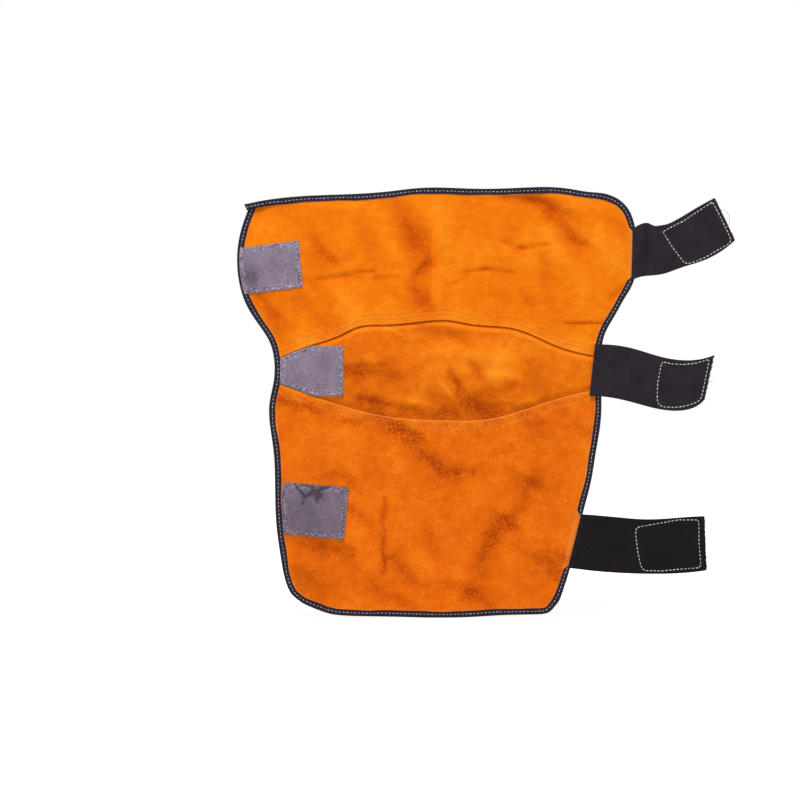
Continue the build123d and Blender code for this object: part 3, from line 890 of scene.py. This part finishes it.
def halves(border):
    """A counter-clockwise border cut at x = 0 into a left and a right border with the same cut."""
    following = np.roll(border, -1, axis=0)
    share = border[:, 0] / (border[:, 0] - following[:, 0] + 1e-12)
    height = border[:, 1] + share * (following[:, 1] - border[:, 1])
    top = int(np.flatnonzero((border[:, 0] >= 0) & (following[:, 0] < 0))[0])
    bottom = int(np.flatnonzero((border[:, 0] < 0) & (following[:, 0] >= 0))[0])
    cut_heights = np.linspace(height[bottom], height[top], int((height[top] - height[bottom]) / 2))
    cut = np.stack([np.zeros(len(cut_heights)), cut_heights], axis=1)
    left = np.roll(border, -top - 1, axis=0)
    left = left[(left[:, 0] < -0.6)]
    right = np.roll(border, -bottom - 1, axis=0)
    right = right[(right[:, 0] > 0.6)]
    return {"left": np.vstack([left, cut]), "right": np.vstack([right, cut[::-1]])}


def thigh_border():
    left, right = seam_ends(THIGH_SEAM)
    return np.vstack([edge_run(right, left, 1.0), seam_path(THIGH_SEAM, lambda p: 0.0)])


def shin_border():
    left, right = seam_ends(SHIN_SEAM)
    return np.vstack([edge_run(left, right, 1.0), seam_path(SHIN_SEAM, lambda p: 0.0)[::-1]])


def margin(points):
    """How far the gusset runs on behind the panels: less near the binding."""
    return 0.2 + SEAM_MARGIN * ease((edge_distance(points) - BINDING_WIDTH) / CUT_CLEAR)


def knee_border():
    thigh_left, thigh_right = seam_ends(THIGH_SEAM)
    shin_left, shin_right = seam_ends(SHIN_SEAM)
    lower = seam_path(SHIN_SEAM, lambda p: -margin(p))
    upper = seam_path(THIGH_SEAM, margin)
    left = edge_run(thigh_left + 1, shin_left - 1, 1.0)
    right = edge_run(shin_right + 1, thigh_right - 1, 1.0)
    return np.vstack([left, lower, right, upper[::-1]])


def below_thigh(points):
    return seam_height(THIGH_SEAM, points[:, 0]) - points[:, 1]


def above_shin(points):
    return points[:, 1] - seam_height(SHIN_SEAM, points[:, 0])


def panel_front(cut_distance):
    """The front level of a panel whose raw edge is a little thinner."""
    thinned = lambda p: RAW_EDGE_THINNING * np.exp(-np.maximum(cut_distance(p), 0) / 0.9)
    return lambda p: LEATHER + relief(p) - thinned(p)


def knee_front(points):
    """The gusset's front level: it dips behind both panels, and lies flush with them in the binding."""
    inside = np.minimum(below_thigh(points), above_shin(points))
    in_binding = 1 - ease((edge_distance(points) - BINDING_WIDTH) / CUT_CLEAR)
    rise = np.maximum(ease(inside / 9.0), in_binding)
    return relief(points) - SEAM_STEP + (LEATHER + SEAM_STEP) * rise


def knee_darkness(points):
    """The gusset takes the painted fold shading of the rest, a painted shadow in the step under the thigh
    panel's edge, and a lighter band just below it.
    """
    under = below_thigh(points)
    # Painted shadow cast by the thigh panel's edge into the step.
    painted_seam_shadow = 0.9 * np.exp(-((under / 2.0) ** 2))
    tone_mark = 0.25 * np.exp(-(((under - 5) / 2.5) ** 2))
    return painted_fold_shading(points) + painted_seam_shadow - tone_mark


def add_panel(panel, border, front, back, material, cut_distance, seed, darkness=painted_fold_shading):
    for side, part in halves(border).items():
        extra = {"edge": edge_distance, "cut": cut_distance, "dark": darkness}
        piece = sheet(f"{panel}_leather_{side}", part, front, back, material, seed=seed, extra=extra)
        dress(piece, [f"{panel}_panel_{side}", f"{panel}_panel_centre"])
        bend_at_wing(piece, side)


def add_leather():
    above_thigh_seam = lambda p: -below_thigh(p)
    below_shin_seam = lambda p: -above_shin(p)
    no_cut = lambda p: np.full(len(p), 99.0)
    knee_back = lambda p: knee_front(p) - LEATHER
    thigh_front, shin_front = panel_front(above_thigh_seam), panel_front(below_shin_seam)
    add_panel("thigh", thigh_border(), thigh_front, relief, THIGH_SUEDE, above_thigh_seam, 1)
    add_panel("shin", shin_border(), shin_front, relief, SHIN_SUEDE, below_shin_seam, 2)
    add_panel("knee", knee_border(), knee_front, knee_back, KNEE_SUEDE, no_cut, 3, knee_darkness)


# =============================================================================================
# Binding
# =============================================================================================
# The folded tape's section, (distance in from the edge, level). It starts at the front leg's inner edge.
TAPE_SECTION = [
    (8.0, 1.55), (7.9, 2.1), (7.2, 2.32), (5.6, 2.3), (4.9, 2.16), (4.3, 2.06), (3.7, 2.16),
    (2.6, 2.34), (1.2, 2.36), (0.4, 2.1), (0.02, 1.5), (-0.05, 0.7), (0.02, -0.1), (0.4, -0.65),
    (1.2, -0.86), (3.6, -0.84), (4.3, -0.7), (5.0, -0.84), (7.6, -0.82), (8.0, -0.4),
    (7.9, -0.03), (0.9, -0.03), (0.9, 1.43), (7.9, 1.43),
]
TAIL = 10.0  # how far the top binding's cut end runs past the corner, mm
TAIL_LIFT = 2.4  # how much the top binding stands proud where it laps the side binding


def outline_at_centre(top):
    """The outline's index next to x = 0 on the top edge or on the hem."""
    other_edge = (OUTLINE[:, 1] > 300) != top
    return int(np.argmin(np.abs(OUTLINE[:, 0]) + 1e6 * other_edge))


# How much of the binding's width is left where it runs in under a strap's root.
ROOT_SQUEEZE = {"upper": 0.55, "lower": 0.22}


def squeezed(points):
    """The binding's width at points of the edge, as a share of its full width."""
    share = np.ones(len(points))
    for name, left_over in ROOT_SQUEEZE.items():
        low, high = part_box(f"{name}_strap_root")
        above_low = ease((points[:, 1] - low.z / MM + HEM + 4) / 8)
        below_high = ease((high.z / MM - HEM + 4 - points[:, 1]) / 8)
        share -= (1 - left_over) * above_low * below_high * (points[:, 0] > 0)
    return share


def tape_path(start, end):
    """The guard's edge between two indices with its inward directions. The tape's width wanders."""
    path = edge_run(start, end, 0.0)
    inward = inward_normals(path)
    run = np.arange(len(path)) + start
    width = 1 + 0.045 * np.sin(run / 17.0) + 0.03 * np.sin(run / 7.3 + 1)
    return path, inward * (width * squeezed(path))[:, None]


def top_path():
    """The top binding's left half, from x = 0 to its cut end past the corner."""
    path, inward = tape_path(outline_at_centre(True), len(OUTLINE) - 2)
    heading = path[-3] - path[-12]
    heading /= np.linalg.norm(heading)
    tail = path[-3] + np.arange(1, TAIL + 3)[:, None] * heading
    tail_in = np.array([-heading[1], heading[0]])
    path = np.vstack([path[:-2], tail])
    return path, np.vstack([inward[:-2], np.tile(tail_in, (len(tail), 1))])


def on_leather(points, level):
    """The tape's shift where it only follows the leather: the same at every level."""
    return relief(points)


def over_binding(points, level):
    """The top binding opens wider at the corner, where the side binding runs in between its legs."""
    corner = OUTLINE[0]
    lift = TAIL_LIFT * ease((34 - (points[:, 0] - corner[0])) / 26)
    return relief(points) + lift * np.interp(level, [-0.5, 1.5], [-0.4, 1.0])


def add_tape_run(parts, path, inward, shift_of, end_slant=0.0):
    """One run of folded tape. end_slant cuts its last end aslant."""
    vertices, faces = sweep(path, inward, TAPE_SECTION, shift_of)
    ring = len(TAPE_SECTION)
    if end_slant:
        last = vertices[-ring:]
        insets = np.array([inset for inset, _ in TAPE_SECTION])
        heading = (path[-1] - path[-2]) / np.linalg.norm(path[-1] - path[-2])
        shift = (insets - 4)[:, None] * end_slant * np.array([heading[0], 0, heading[1]])
        last += shift * MM
    parts.add(vertices, faces)


def tape_runs():
    """Each side's runs: (path, inward, shift of its levels, slant at the end)."""
    top, bottom = outline_at_centre(True), outline_at_centre(False)
    side_path, side_in = tape_path(1, bottom)
    right_path, right_in = tape_path(bottom, top)
    over_path, over_in = top_path()
    return {
        "left": [(over_path, over_in, over_binding, -0.28), (side_path, side_in, on_leather, 0.0)],
        "right": [(right_path, right_in, on_leather, 0.0)],
    }


def add_binding():
    for side, runs in tape_runs().items():
        tape, thread_rows = Parts(), Parts()
        for k, (path, inward, shift_of, slant) in enumerate(runs):
            add_tape_run(tape, path, inward, shift_of, slant)
            row = path + inward * BINDING_STITCH
            front = lambda p, shift_of=shift_of: STITCH_FRONT + shift_of(p, STITCH_FRONT)
            back = lambda p, shift_of=shift_of: shift_of(p, STITCH_BACK) + STITCH_BACK
            sew(thread_rows, row, front, STITCH_PITCH, 0.62, 10 + k, length=0.66)
            sew(thread_rows, row, back, STITCH_PITCH, 0.5, 20 + k, front=False, length=0.66)
        piece = tape.build(f"binding_{side}", TAPE_CLOTH, 50)
        dress(piece, [f"edge_binding_{side}", "edge_binding_centre"])
        bend_at_wing(piece, side)
        piece = thread_rows.build(f"binding_stitches_{side}", PALE_THREAD)
        dress(piece, [f"binding_thread_{side}", "binding_thread_centre"])
        bend_at_wing(piece, side)


def add_seam_stitches():
    for side, sign in (("left", -1), ("right", 1)):
        rows = Parts()
        for seam, upward in ((THIGH_SEAM, 1), (SHIN_SEAM, -1)):
            for k, distance in enumerate(SEAM_ROWS):
                path = seam_path(seam, lambda p, d=distance * upward: d, BINDING_WIDTH + 1.5)
                path = path[path[:, 0] * sign > 0]
                level = lambda p: relief(p) + LEATHER - 0.1
                sew(rows, path, level, 3.4, 0.5, 30 + k + 2 * upward, length=0.58)
        piece = rows.build(f"seam_stitches_{side}", ORANGE_THREAD)
        dress(piece, [f"seam_threads_{side}", "seam_threads_centre"])
        bend_at_wing(piece, side)


# =============================================================================================
# Loop patches
# =============================================================================================
def hull(points):
    """The convex border of plan points, counter-clockwise."""
    points = sorted({tuple(p) for p in points.round(1)})

    def chain(run):
        kept = []
        for p in run:
            while len(kept) > 1:
                a, b = kept[-2], kept[-1]
                if (b[0] - a[0]) * (p[1] - a[1]) - (b[1] - a[1]) * (p[0] - a[0]) > 0:
                    break
                kept.pop()
            kept.append(p)
        return kept[:-1]

    return np.array(chain(points) + chain(points[::-1]))


# Puckers of the lower patch: (x, height) of both ends, half width, depth.
PUCKERS = [
    ((-172, 169), (-159.5, 154.5), 1.6, 1.5),
    ((-146, 161.5), (-159.5, 154.5), 1.7, 1.6),
    ((-147, 162), (-163, 170), 1.7, 1.3),
    ((-146, 162), (-131, 166), 2.2, 1.9),
    ((-145, 162), (-144, 150.5), 2.2, 1.3),
    ((-149, 163), (-144, 158), 3.4, 1.8),
    ((-158, 154), (-163, 146), 1.6, 0.7),
]
PATCH_LIFT = {"upper": 0.0, "middle": 1.0, "lower": 1.5}  # how far the lower edge stands off, mm
# Darker places of each patch: (x, height, half width, half height, strength).
PATCH_SHADES = {
    "upper": [(-230, 437, 12, 16, 0.34), (-205, 446, 30, 16, 0.08)],
    "middle": [(-178, 300, 30, 14, 0.12), (-140, 330, 20, 14, 0.08)],
    "lower": [(-168, 125, 34, 22, 0.16), (-145, 158, 8, 5, 0.4)],
}


def pucker_depth(points, name):
    if name != "lower":
        return np.zeros(len(points))
    x, z = points[:, 0], points[:, 1]
    depth = np.zeros(len(points))
    for start, end, width, amount in PUCKERS:
        depth = np.maximum(depth, amount * fold_profile(x, z, start, end, width))
    bump = 1.2 * np.exp(-(((x + 155.5) / 4.5) ** 2) - ((z - 163.5) / 3.5) ** 2)
    return depth - bump


def patch_base(name):
    """The level of the cloth under a patch."""
    if name == "middle":
        return lambda p: np.maximum(knee_front(p), relief(p) + LEATHER - 0.5)
    if name == "upper":
        return lambda p: relief(p) + LEATHER + 0.95 * ease((10.5 - edge_distance(p)) / 2.5)
    return lambda p: relief(p) + LEATHER


def closed_distance(points, border):
    dense = resample(closed(border), 0.5)
    return border_distance(points, dense)


def add_patch_stitches(name, corners, base, seed):
    rows = Parts()
    level = lambda p: base(p) + 1.05 - pucker_depth(p, name)
    sew(rows, inner_ring(corners, PATCH_ROW), level, 2.6, 0.34, seed, wobble=0.2)
    piece = rows.build(f"{name}_patch_stitches", LILAC_THREAD)
    dress(piece, [f"{name}_patch_thread"])
    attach(piece, "left_wing")


def add_loop_patch(name, material, seed):
    """A patch of loop pile with a stitched groove near its border, and its ring of stitches."""
    corners = hull(cad_points(f"{name}_loop_patch")[:, [0, 2]])
    border = resample(closed(corners), 1.1)[:-1]
    base = patch_base(name)
    rng = np.random.default_rng(seed)

    def front(p):
        inside = closed_distance(p, corners)
        pile = rng.uniform(-0.16, 0.16, len(p)) * ease(inside / 1.5)
        groove = 0.45 * np.exp(-(((inside - PATCH_ROW) / 1.0) ** 2))
        thick = 0.5 + 0.95 * np.sqrt(np.clip(inside / 1.2, 0, 1))
        lift = PATCH_LIFT[name] * ease((9 - (p[:, 1] - corners[:, 1].min())) / 9)
        shape = thick + pile - groove - pucker_depth(p, name) + lift
        return base(p) + np.maximum(shape, 0.3)

    def dark(p):
        inside = closed_distance(p, corners)
        # Painted shade in the stitched groove and along the puckers' folds, plus the listed darker places.
        out = 0.2 * np.exp(-(((inside - PATCH_ROW) / 0.8) ** 2))
        for cx, cz, wide, high, strength in PATCH_SHADES[name]:
            out += strength * np.exp(-(((p[:, 0] - cx) / wide) ** 2) - ((p[:, 1] - cz) / high) ** 2)
        return out + 0.42 * np.clip(pucker_depth(p, name), 0, 2)

    def ring(p):
        return np.exp(-(((closed_distance(p, corners) - 3.6) / 2.6) ** 2))

    extra = {"dark": dark, "ring": ring}
    piece = sheet(f"{name}_loop_pile", border, front, base, material, 1.25, seed, extra)
    dress(piece, [f"{name}_loop_patch"])
    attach(piece, "left_wing")
    add_patch_stitches(name, corners, base, seed + 7)


def inner_ring(corners, inset):
    """A closed line inside a convex border, at a distance from it."""
    corners = resample(closed(corners), 0.5)[:-1]
    middle = corners.mean(0)
    line = []
    for p in corners:
        toward = middle - p
        low, high = 0.0, 1.0
        for _ in range(18):
            share = (low + high) / 2
            if border_distance((p + toward * share)[None, :], corners)[0] < inset:
                low = share
            else:
                high = share
        line.append(p + toward * high)
    return closed(line)


# =============================================================================================
# Straps
# =============================================================================================
LONGEST_FRAY = {"upper": 1.0, "middle": 2.6, "lower": 2.4}
RIB_PITCH = 1.5
RING_STEP = 0.375
BOX_STITCH = 4.9  # pitch of the stitches round a strap's tip
ELASTIC = 1.4
BAND_FRONT = 5.4  # the straps' front level
ROOT_THICKNESS = 2.8

# Waves of each strap: (x, height) of both ends, half width, height.
STRAP_WAVES = {
    "upper": [
        ((282, 506), (279, 462), 4.5, -2.6),
        ((279, 462), (276, 432), 5.0, -1.2),
        ((271, 506), (269, 470), 4.5, 1.6),
        ((293, 506), (297, 440), 7.0, 1.0),
        ((330, 500), (350, 470), 22.0, 1.0),
        ((389, 486), (372, 500), 5.0, -0.8),
    ],
    "middle": [
        ((235, 345), (232, 285), 12.0, 0.9),
        ((270, 340), (265, 275), 12.0, -0.8),
        ((330, 330), (318, 270), 16.0, 0.9),
        ((356, 334), (362, 326), 5.0, 1.2),
    ],
    "lower": [
        ((215, 130), (205, 60), 14.0, 0.8),
        ((245, 125), (238, 58), 14.0, -0.9),
        ((300, 126), (300, 58), 24.0, 1.0),
    ],
}


def by_share(points, shares):
    """Points of a polyline at shares of its length."""
    run = running_length(points)
    at = np.asarray(shares) * run[-1]
    return np.stack([np.interp(at, run, points[:, k]) for k in (0, 1)], axis=1)


# An edge whose outward direction rises more than this across the strap belongs to a long edge.
LONG_EDGE_RISE = {"root": 0.8, "band": 0.6, "tip": 0.45}


def strap_edges(name):
    """A strap's upper and lower long edges from its root to its tip."""
    loops = {part: front_loop(f"{name}_strap_{part}") for part in LONG_EDGE_RISE}
    along = loops["tip"].mean(0) - loops["root"].mean(0)
    along /= np.linalg.norm(along)
    up = np.array([-along[1], along[0]])
    found = {1: [], -1: []}
    for part, loop in loops.items():
        following = np.roll(loop, -1, axis=0)
        step = following - loop
        outward = np.stack([step[:, 1], -step[:, 0]], axis=1) / np.linalg.norm(step, axis=1)[:, None]
        rise = outward @ up
        for sign in found:
            hit = rise * sign > LONG_EDGE_RISE[part]
            found[sign] += [*loop[hit], *following[hit]]
    edges = []
    for sign in (1, -1):
        points = np.array(found[sign])
        points = points[np.argsort(points @ along)]
        keep = np.concatenate([[True], np.diff(points @ along) > 0.3])
        edges.append(points[keep])
    return edges


class Strap:
    """One strap as a ruled surface between its long edges. s runs to the tip, v runs downwards."""

    def __init__(self, name):
        self.name = name
        self.top, self.bottom = strap_edges(name)
        self.length = np.linalg.norm(np.diff((self.top[[0, -1]] + self.bottom[[0, -1]]) / 2, axis=0))
        self.hinges = [joint_place(f"{name}_strap_{joint}")[0] / MM for joint in ("swing", "tip")]

    def place(self, s, v):
        """Plan points at shares s along and v across. Both are arrays of the same length."""
        a, b = by_share(self.top, s), by_share(self.bottom, s)
        return a + (b - a) * np.asarray(v)[:, None]

    def share_at(self, point):
        """The share along the strap of the middle line's point nearest to a plan point."""
        s = np.linspace(0, 1, 400)
        gap = self.place(s, np.full(400, 0.5)) - point
        return s[np.argmin(np.hypot(*gap.T))]

    def hinge_share(self, k):
        return self.share_at(self.hinges[k][[0, 2]] - [0, HEM])

    def level(self, points):
        """The front level: flat cloth with slow waves. Near the guard it follows the leather."""
        out = np.full(len(points), BAND_FRONT)
        for start, end, width, height in STRAP_WAVES[self.name]:
            out += height * fold_profile(points[:, 0], points[:, 1], start, end, width)
        return out + relief(points) * ease(1 + edge_depth(points) / 30)

    def thickness(self, s):
        """Double at the root, single from just before the first bend line."""
        thin_at = self.hinge_share(0) - 3.0 / self.length
        fold = ease((thin_at - s) * self.length / 6)
        return ELASTIC + (ROOT_THICKNESS - ELASTIC) * fold


EDGE_SHARES = np.array([0, 0.003, 0.008, 0.016, 0.03, 0.05])
ACROSS = np.concatenate([EDGE_SHARES, np.linspace(0.08, 0.92, 22), 1 - EDGE_SHARES[::-1]])


def strap_faces(rings, columns):
    """Faces of a strap's front, back, long edges and both ends."""
    count = rings * columns
    faces = []
    for i in range(rings - 1):
        for j in range(columns - 1):
            a, b = i * columns + j, (i + 1) * columns + j
            faces.append([a, b, b + 1, a + 1])
            faces.append([a + count, a + 1 + count, b + 1 + count, b + count])
        for j in (0, columns - 1):
            a, b = i * columns + j, (i + 1) * columns + j
            faces.append([a, b, b + count, a + count])
    for i in (0, rings - 1):
        for j in range(columns - 1):
            a = i * columns + j
            faces.append([a, a + 1, a + 1 + count, a + count])
    return faces


def rounded(distance, radius, least=0.0):
    """The share of its thickness that a strap keeps at a distance from a rounded edge."""
    inner = 1 - np.clip(distance / radius, 0, 1)
    return np.sqrt(np.clip(1 - inner**2, least, 1))


def strap_piece(strap, name, low, high, material, closed_root, frayed_tip, seed):
    """The closed cloth of a strap between two shares of its length."""
    rings = int((high - low) * strap.length / RING_STEP)
    s = np.linspace(low, high, rings)
    columns = len(ACROSS)
    s_all = np.repeat(s, columns)
    v_all = np.tile(ACROSS, rings)
    plan = strap.place(s_all, v_all)
    run = s_all * strap.length
    rng = np.random.default_rng(seed)
    drift = np.repeat(np.cumsum(rng.normal(0, 0.05, rings)), columns)
    rib = np.cos(2 * math.pi * run / RIB_PITCH + drift + 0.6 * np.sin(v_all * 9))
    side = np.minimum(v_all, 1 - v_all) * STRAP_WIDTH
    round_edge = rounded(side, 0.7)
    if closed_root:
        round_edge = round_edge * rounded(run, 1.6, 0.02)
    half = strap.thickness(s_all) / 2
    middle = strap.level(plan) - half
    ribbed = 0.11 * rib * np.clip(side / 1.5, 0, 1)
    if frayed_tip:
        reach = np.repeat(s > high - 1.2 / strap.length, columns)
        plan = plan + (reach * rng.normal(0, 0.35, len(plan)))[:, None] * [1, 0]
    front = in_space(plan, middle + half * round_edge + ribbed)
    back = in_space(plan, middle - half * round_edge - ribbed)
    faces = strap_faces(rings, columns)
    return make_object(name, np.vstack([front, back]), faces, material, 50, rib=np.tile(rib, 2))


def add_tip_stitches(strap, seed):
    line = closed(front_loop(f"{strap.name}_tip_thread"))
    rows = Parts()
    front = lambda p: strap.level(p) + 0.02
    back = lambda p: strap.level(p) - ELASTIC - 0.9
    sew(rows, line, front, BOX_STITCH, 0.54, seed, length=0.72, wobble=0.1)
    sew(rows, line, back, BOX_STITCH, 0.5, seed + 1, front=False, length=0.72, wobble=0.1)
    piece = rows.build(f"{strap.name}_tip_stitches", WHITE_THREAD)
    dress(piece, [f"{strap.name}_tip_thread"])
    bend_at_tip(piece)


def hook_grid(border):
    """Plan points of the small hooks: staggered rows inside the pad."""
    low, high = border.min(0) + 1.5, border.max(0) - 1.5
    xs, zs = np.meshgrid(*(np.arange(low[k], high[k], HOOK_PITCH) for k in (0, 1)))
    stagger = (np.round(zs.ravel() / HOOK_PITCH) % 2) * 0.9
    grid = np.stack([xs.ravel() + stagger, zs.ravel()], axis=1)
    return grid[inside_polygon(grid, border) & (closed_distance(grid, border) > 1.2)]


def hook_stem(lean):
    """One hook's middle line, in metres: out of the back and over to one side."""
    return np.array([[0, 0, 0], [0, 0.45, 0], [lean * 0.5, 0.75, 0], [lean, 0.6, 0]]) * MM


def add_hook_pad(strap, seed):
    """The hook tape on the strap's back, with its rows of small hooks."""
    border = front_loop(f"{strap.name}_hook_pad")
    dense = resample(closed(border), 1.5)[:-1]
    front = lambda p: strap.level(p) - ELASTIC + 0.15
    back = lambda p: strap.level(p) - ELASTIC - 0.8
    parts = Parts()
    parts.add(*slab(dense, 3.0, seed, front, back)[1:])
    grid = hook_grid(border)
    for k, p in enumerate(in_space(grid, back(grid) + 0.05)):
        parts.add(*tube(p + hook_stem(0.45 if k % 2 else -0.45), 0.17 * MM, 4))
    piece = parts.build(f"{strap.name}_hooks", HOOKS, 40)
    dress(piece, [f"{strap.name}_hook_pad"])
    bend_at_tip(piece)


def add_frays(strap, material, seed, longest):
    """Loose rubber and yarn ends along the strap's cut tip."""
    rng = np.random.default_rng(seed)
    parts = Parts()
    for v in np.sort(rng.uniform(0.02, 0.98, 70)):
        root = strap.place([0.995], [v])[0]
        heading = strap.place([1.0], [v])[0] - strap.place([0.97], [v])[0]
        heading /= np.linalg.norm(heading)
        reach = longest * rng.uniform(0.2, 1.0) ** 2 + 0.6
        t = np.linspace(0, 1, 5)[:, None]
        bend = rng.normal(0, 0.5, 2) * t**2 * reach
        plan = root + heading * t * reach + bend
        level = strap.level(plan) - rng.uniform(0.3, 1.1) + rng.normal(0, 0.3) * t[:, 0]
        parts.add(*tube(in_space(plan, level), rng.uniform(0.1, 0.2) * MM, 5))
    piece = parts.build(f"{strap.name}_tip_frays", material)
    dress(piece, [f"{strap.name}_strap_tip"])
    bend_at_tip(piece)


# The loose loop of thread at the upper strap's tip, (x, height, distance in front of the strap's face).
LOOSE_LOOP = [
    (371, 520, -0.4), (374, 521, 0.2), (378, 518.5, 0.6), (381, 514, 0.7), (382.5, 508.5, 0.5),
    (382, 503, 0.1), (380, 499, -0.5),
]


def add_loose_loop(strap):
    control = np.array(LOOSE_LOOP, float)
    t, at = np.linspace(0, 1, 40), np.linspace(0, 1, len(control))
    path = np.stack([np.interp(t, at, control[:, k]) for k in range(3)], axis=1)
    for _ in range(12):
        path[1:-1] = (path[:-2] + path[2:] + 2 * path[1:-1]) / 4
    parts = Parts()
    parts.add(*tube(in_space(path[:, :2], BAND_FRONT + path[:, 2]), 0.42 * MM, 7))
    piece = parts.build(f"{strap.name}_loose_thread", WHITE_THREAD)
    dress(piece, [f"{strap.name}_tip_thread"])
    bend_at_tip(piece)


def add_root_stitches(strap, seed):
    """The dark row of stitches that holds the root, along its inner edge."""
    rows = Parts()
    s = np.full(40, 3.4 / strap.length)
    path = strap.place(s, np.linspace(0.03, 0.97, 40))
    sew(rows, path, lambda p: strap.level(p) + 0.03, 3.2, 0.3, seed)
    piece = rows.build(f"{strap.name}_root_stitches", DARK_THREAD)
    dress(piece, [f"{strap.name}_root_thread"])
    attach(piece, "right_wing")


def add_strap(name, material, seed):
    strap = Strap(name)
    cut = (strap.hinge_share(0) + strap.hinge_share(1)) / 2
    root = strap_piece(strap, f"{name}_elastic_root", 0, cut, material, True, False, seed)
    dress(root, [f"{name}_strap_root", f"{name}_strap_band"])
    bend_at_strap(root)
    end = strap_piece(strap, f"{name}_elastic_end", cut, 1, material, False, True, seed + 1)
    dress(end, [f"{name}_strap_band", f"{name}_strap_tip"])
    bend_at_tip(end)
    add_root_stitches(strap, seed + 2)
    add_hook_pad(strap, seed + 3)
    add_tip_stitches(strap, seed + 4)
    add_frays(strap, material, seed + 6, LONGEST_FRAY[name])
    if name == "upper":
        add_loose_loop(strap)


add_leather()
add_binding()
add_seam_stitches()
add_loop_patch("upper", LOOP_UPPER, 50)
add_loop_patch("middle", LOOP_UPPER, 60)
add_loop_patch("lower", LOOP_LOWER, 70)
add_strap("upper", ELASTIC_UPPER, 100)
add_strap("middle", ELASTIC_UPPER, 110)
add_strap("lower", ELASTIC_LOWER, 120)


# =============================================================================================
# Floor, light and camera
# =============================================================================================
WORLD_LIGHT = 0.30
FLOOR_GLOW = 0.75  # makes the floor show white to the camera only
FLOOR_RADIUS = 7.0
KEY_POWER = 74.0
FILL_POWER = 6.0
CAMERA_PLACE = (-0.0383, -2.415, -0.0381)


def add_floor():
    """A large pale floor just below the hem, under the upright guard."""
    place = (0, 0, cad_box[0].z - MM)
    bpy.ops.mesh.primitive_circle_add(vertices=96, radius=FLOOR_RADIUS, fill_type="NGON", location=place)
    floor = bpy.context.object
    floor.name = "studio_floor"
    g = Graph("studio_floor")
    ray = g.node("ShaderNodeLightPath")
    g.put((1, 1, 1, 1), g.shader.inputs["Emission Color"])
    g.put(g.math("MULTIPLY", ray.outputs["Is Camera Ray"], FLOOR_GLOW), g.shader.inputs["Emission Strength"])
    floor.data.materials.append(g.finish((0.93, 0.93, 0.93, 1), None, 0.9, 0.1))


def add_world():
    """White towards the camera and a softer white as light."""
    world = bpy.data.worlds.new("studio")
    world.use_nodes = True
    bpy.context.scene.world = world
    tree = world.node_tree
    background = tree.nodes["Background"]
    background.inputs["Color"].default_value = (1, 1, 1, 1)
    path = tree.nodes.new("ShaderNodeLightPath")
    strength = tree.nodes.new("ShaderNodeMapRange")
    strength.inputs["To Min"].default_value = WORLD_LIGHT
    strength.inputs["To Max"].default_value = 1.0
    tree.links.new(path.outputs["Is Camera Ray"], strength.inputs["Value"])
    tree.links.new(strength.outputs["Result"], background.inputs["Strength"])


def add_area(name, place, target, size, power):
    data = bpy.data.lights.new(name, "AREA")
    data.shape = "SQUARE"
    data.size = size
    data.energy = power
    lamp = bpy.data.objects.new(name, data)
    bpy.context.scene.collection.objects.link(lamp)
    lamp.location = place
    lamp.rotation_euler = (Vector(target) - Vector(place)).to_track_quat("-Z", "Y").to_euler()


def add_camera():
    """Square on to the guard's outer face."""
    data = bpy.data.cameras.new("camera")
    data.lens = 85
    data.sensor_width = 36
    camera = bpy.data.objects.new("camera", data)
    camera.location = CAMERA_PLACE
    camera.rotation_euler = (math.pi / 2, 0, 0)
    bpy.context.scene.collection.objects.link(camera)
    bpy.context.scene.camera = camera


add_floor()
add_world()
add_area("key", (-0.5, -1.2, 2.5), (0, 0, 0.05), 0.7, KEY_POWER)
add_area("fill", (1.4, -2.4, 0.3), (0, 0, 0), 1.8, FILL_POWER)
add_camera()
scene = bpy.context.scene
scene.view_settings.view_transform = "Standard"
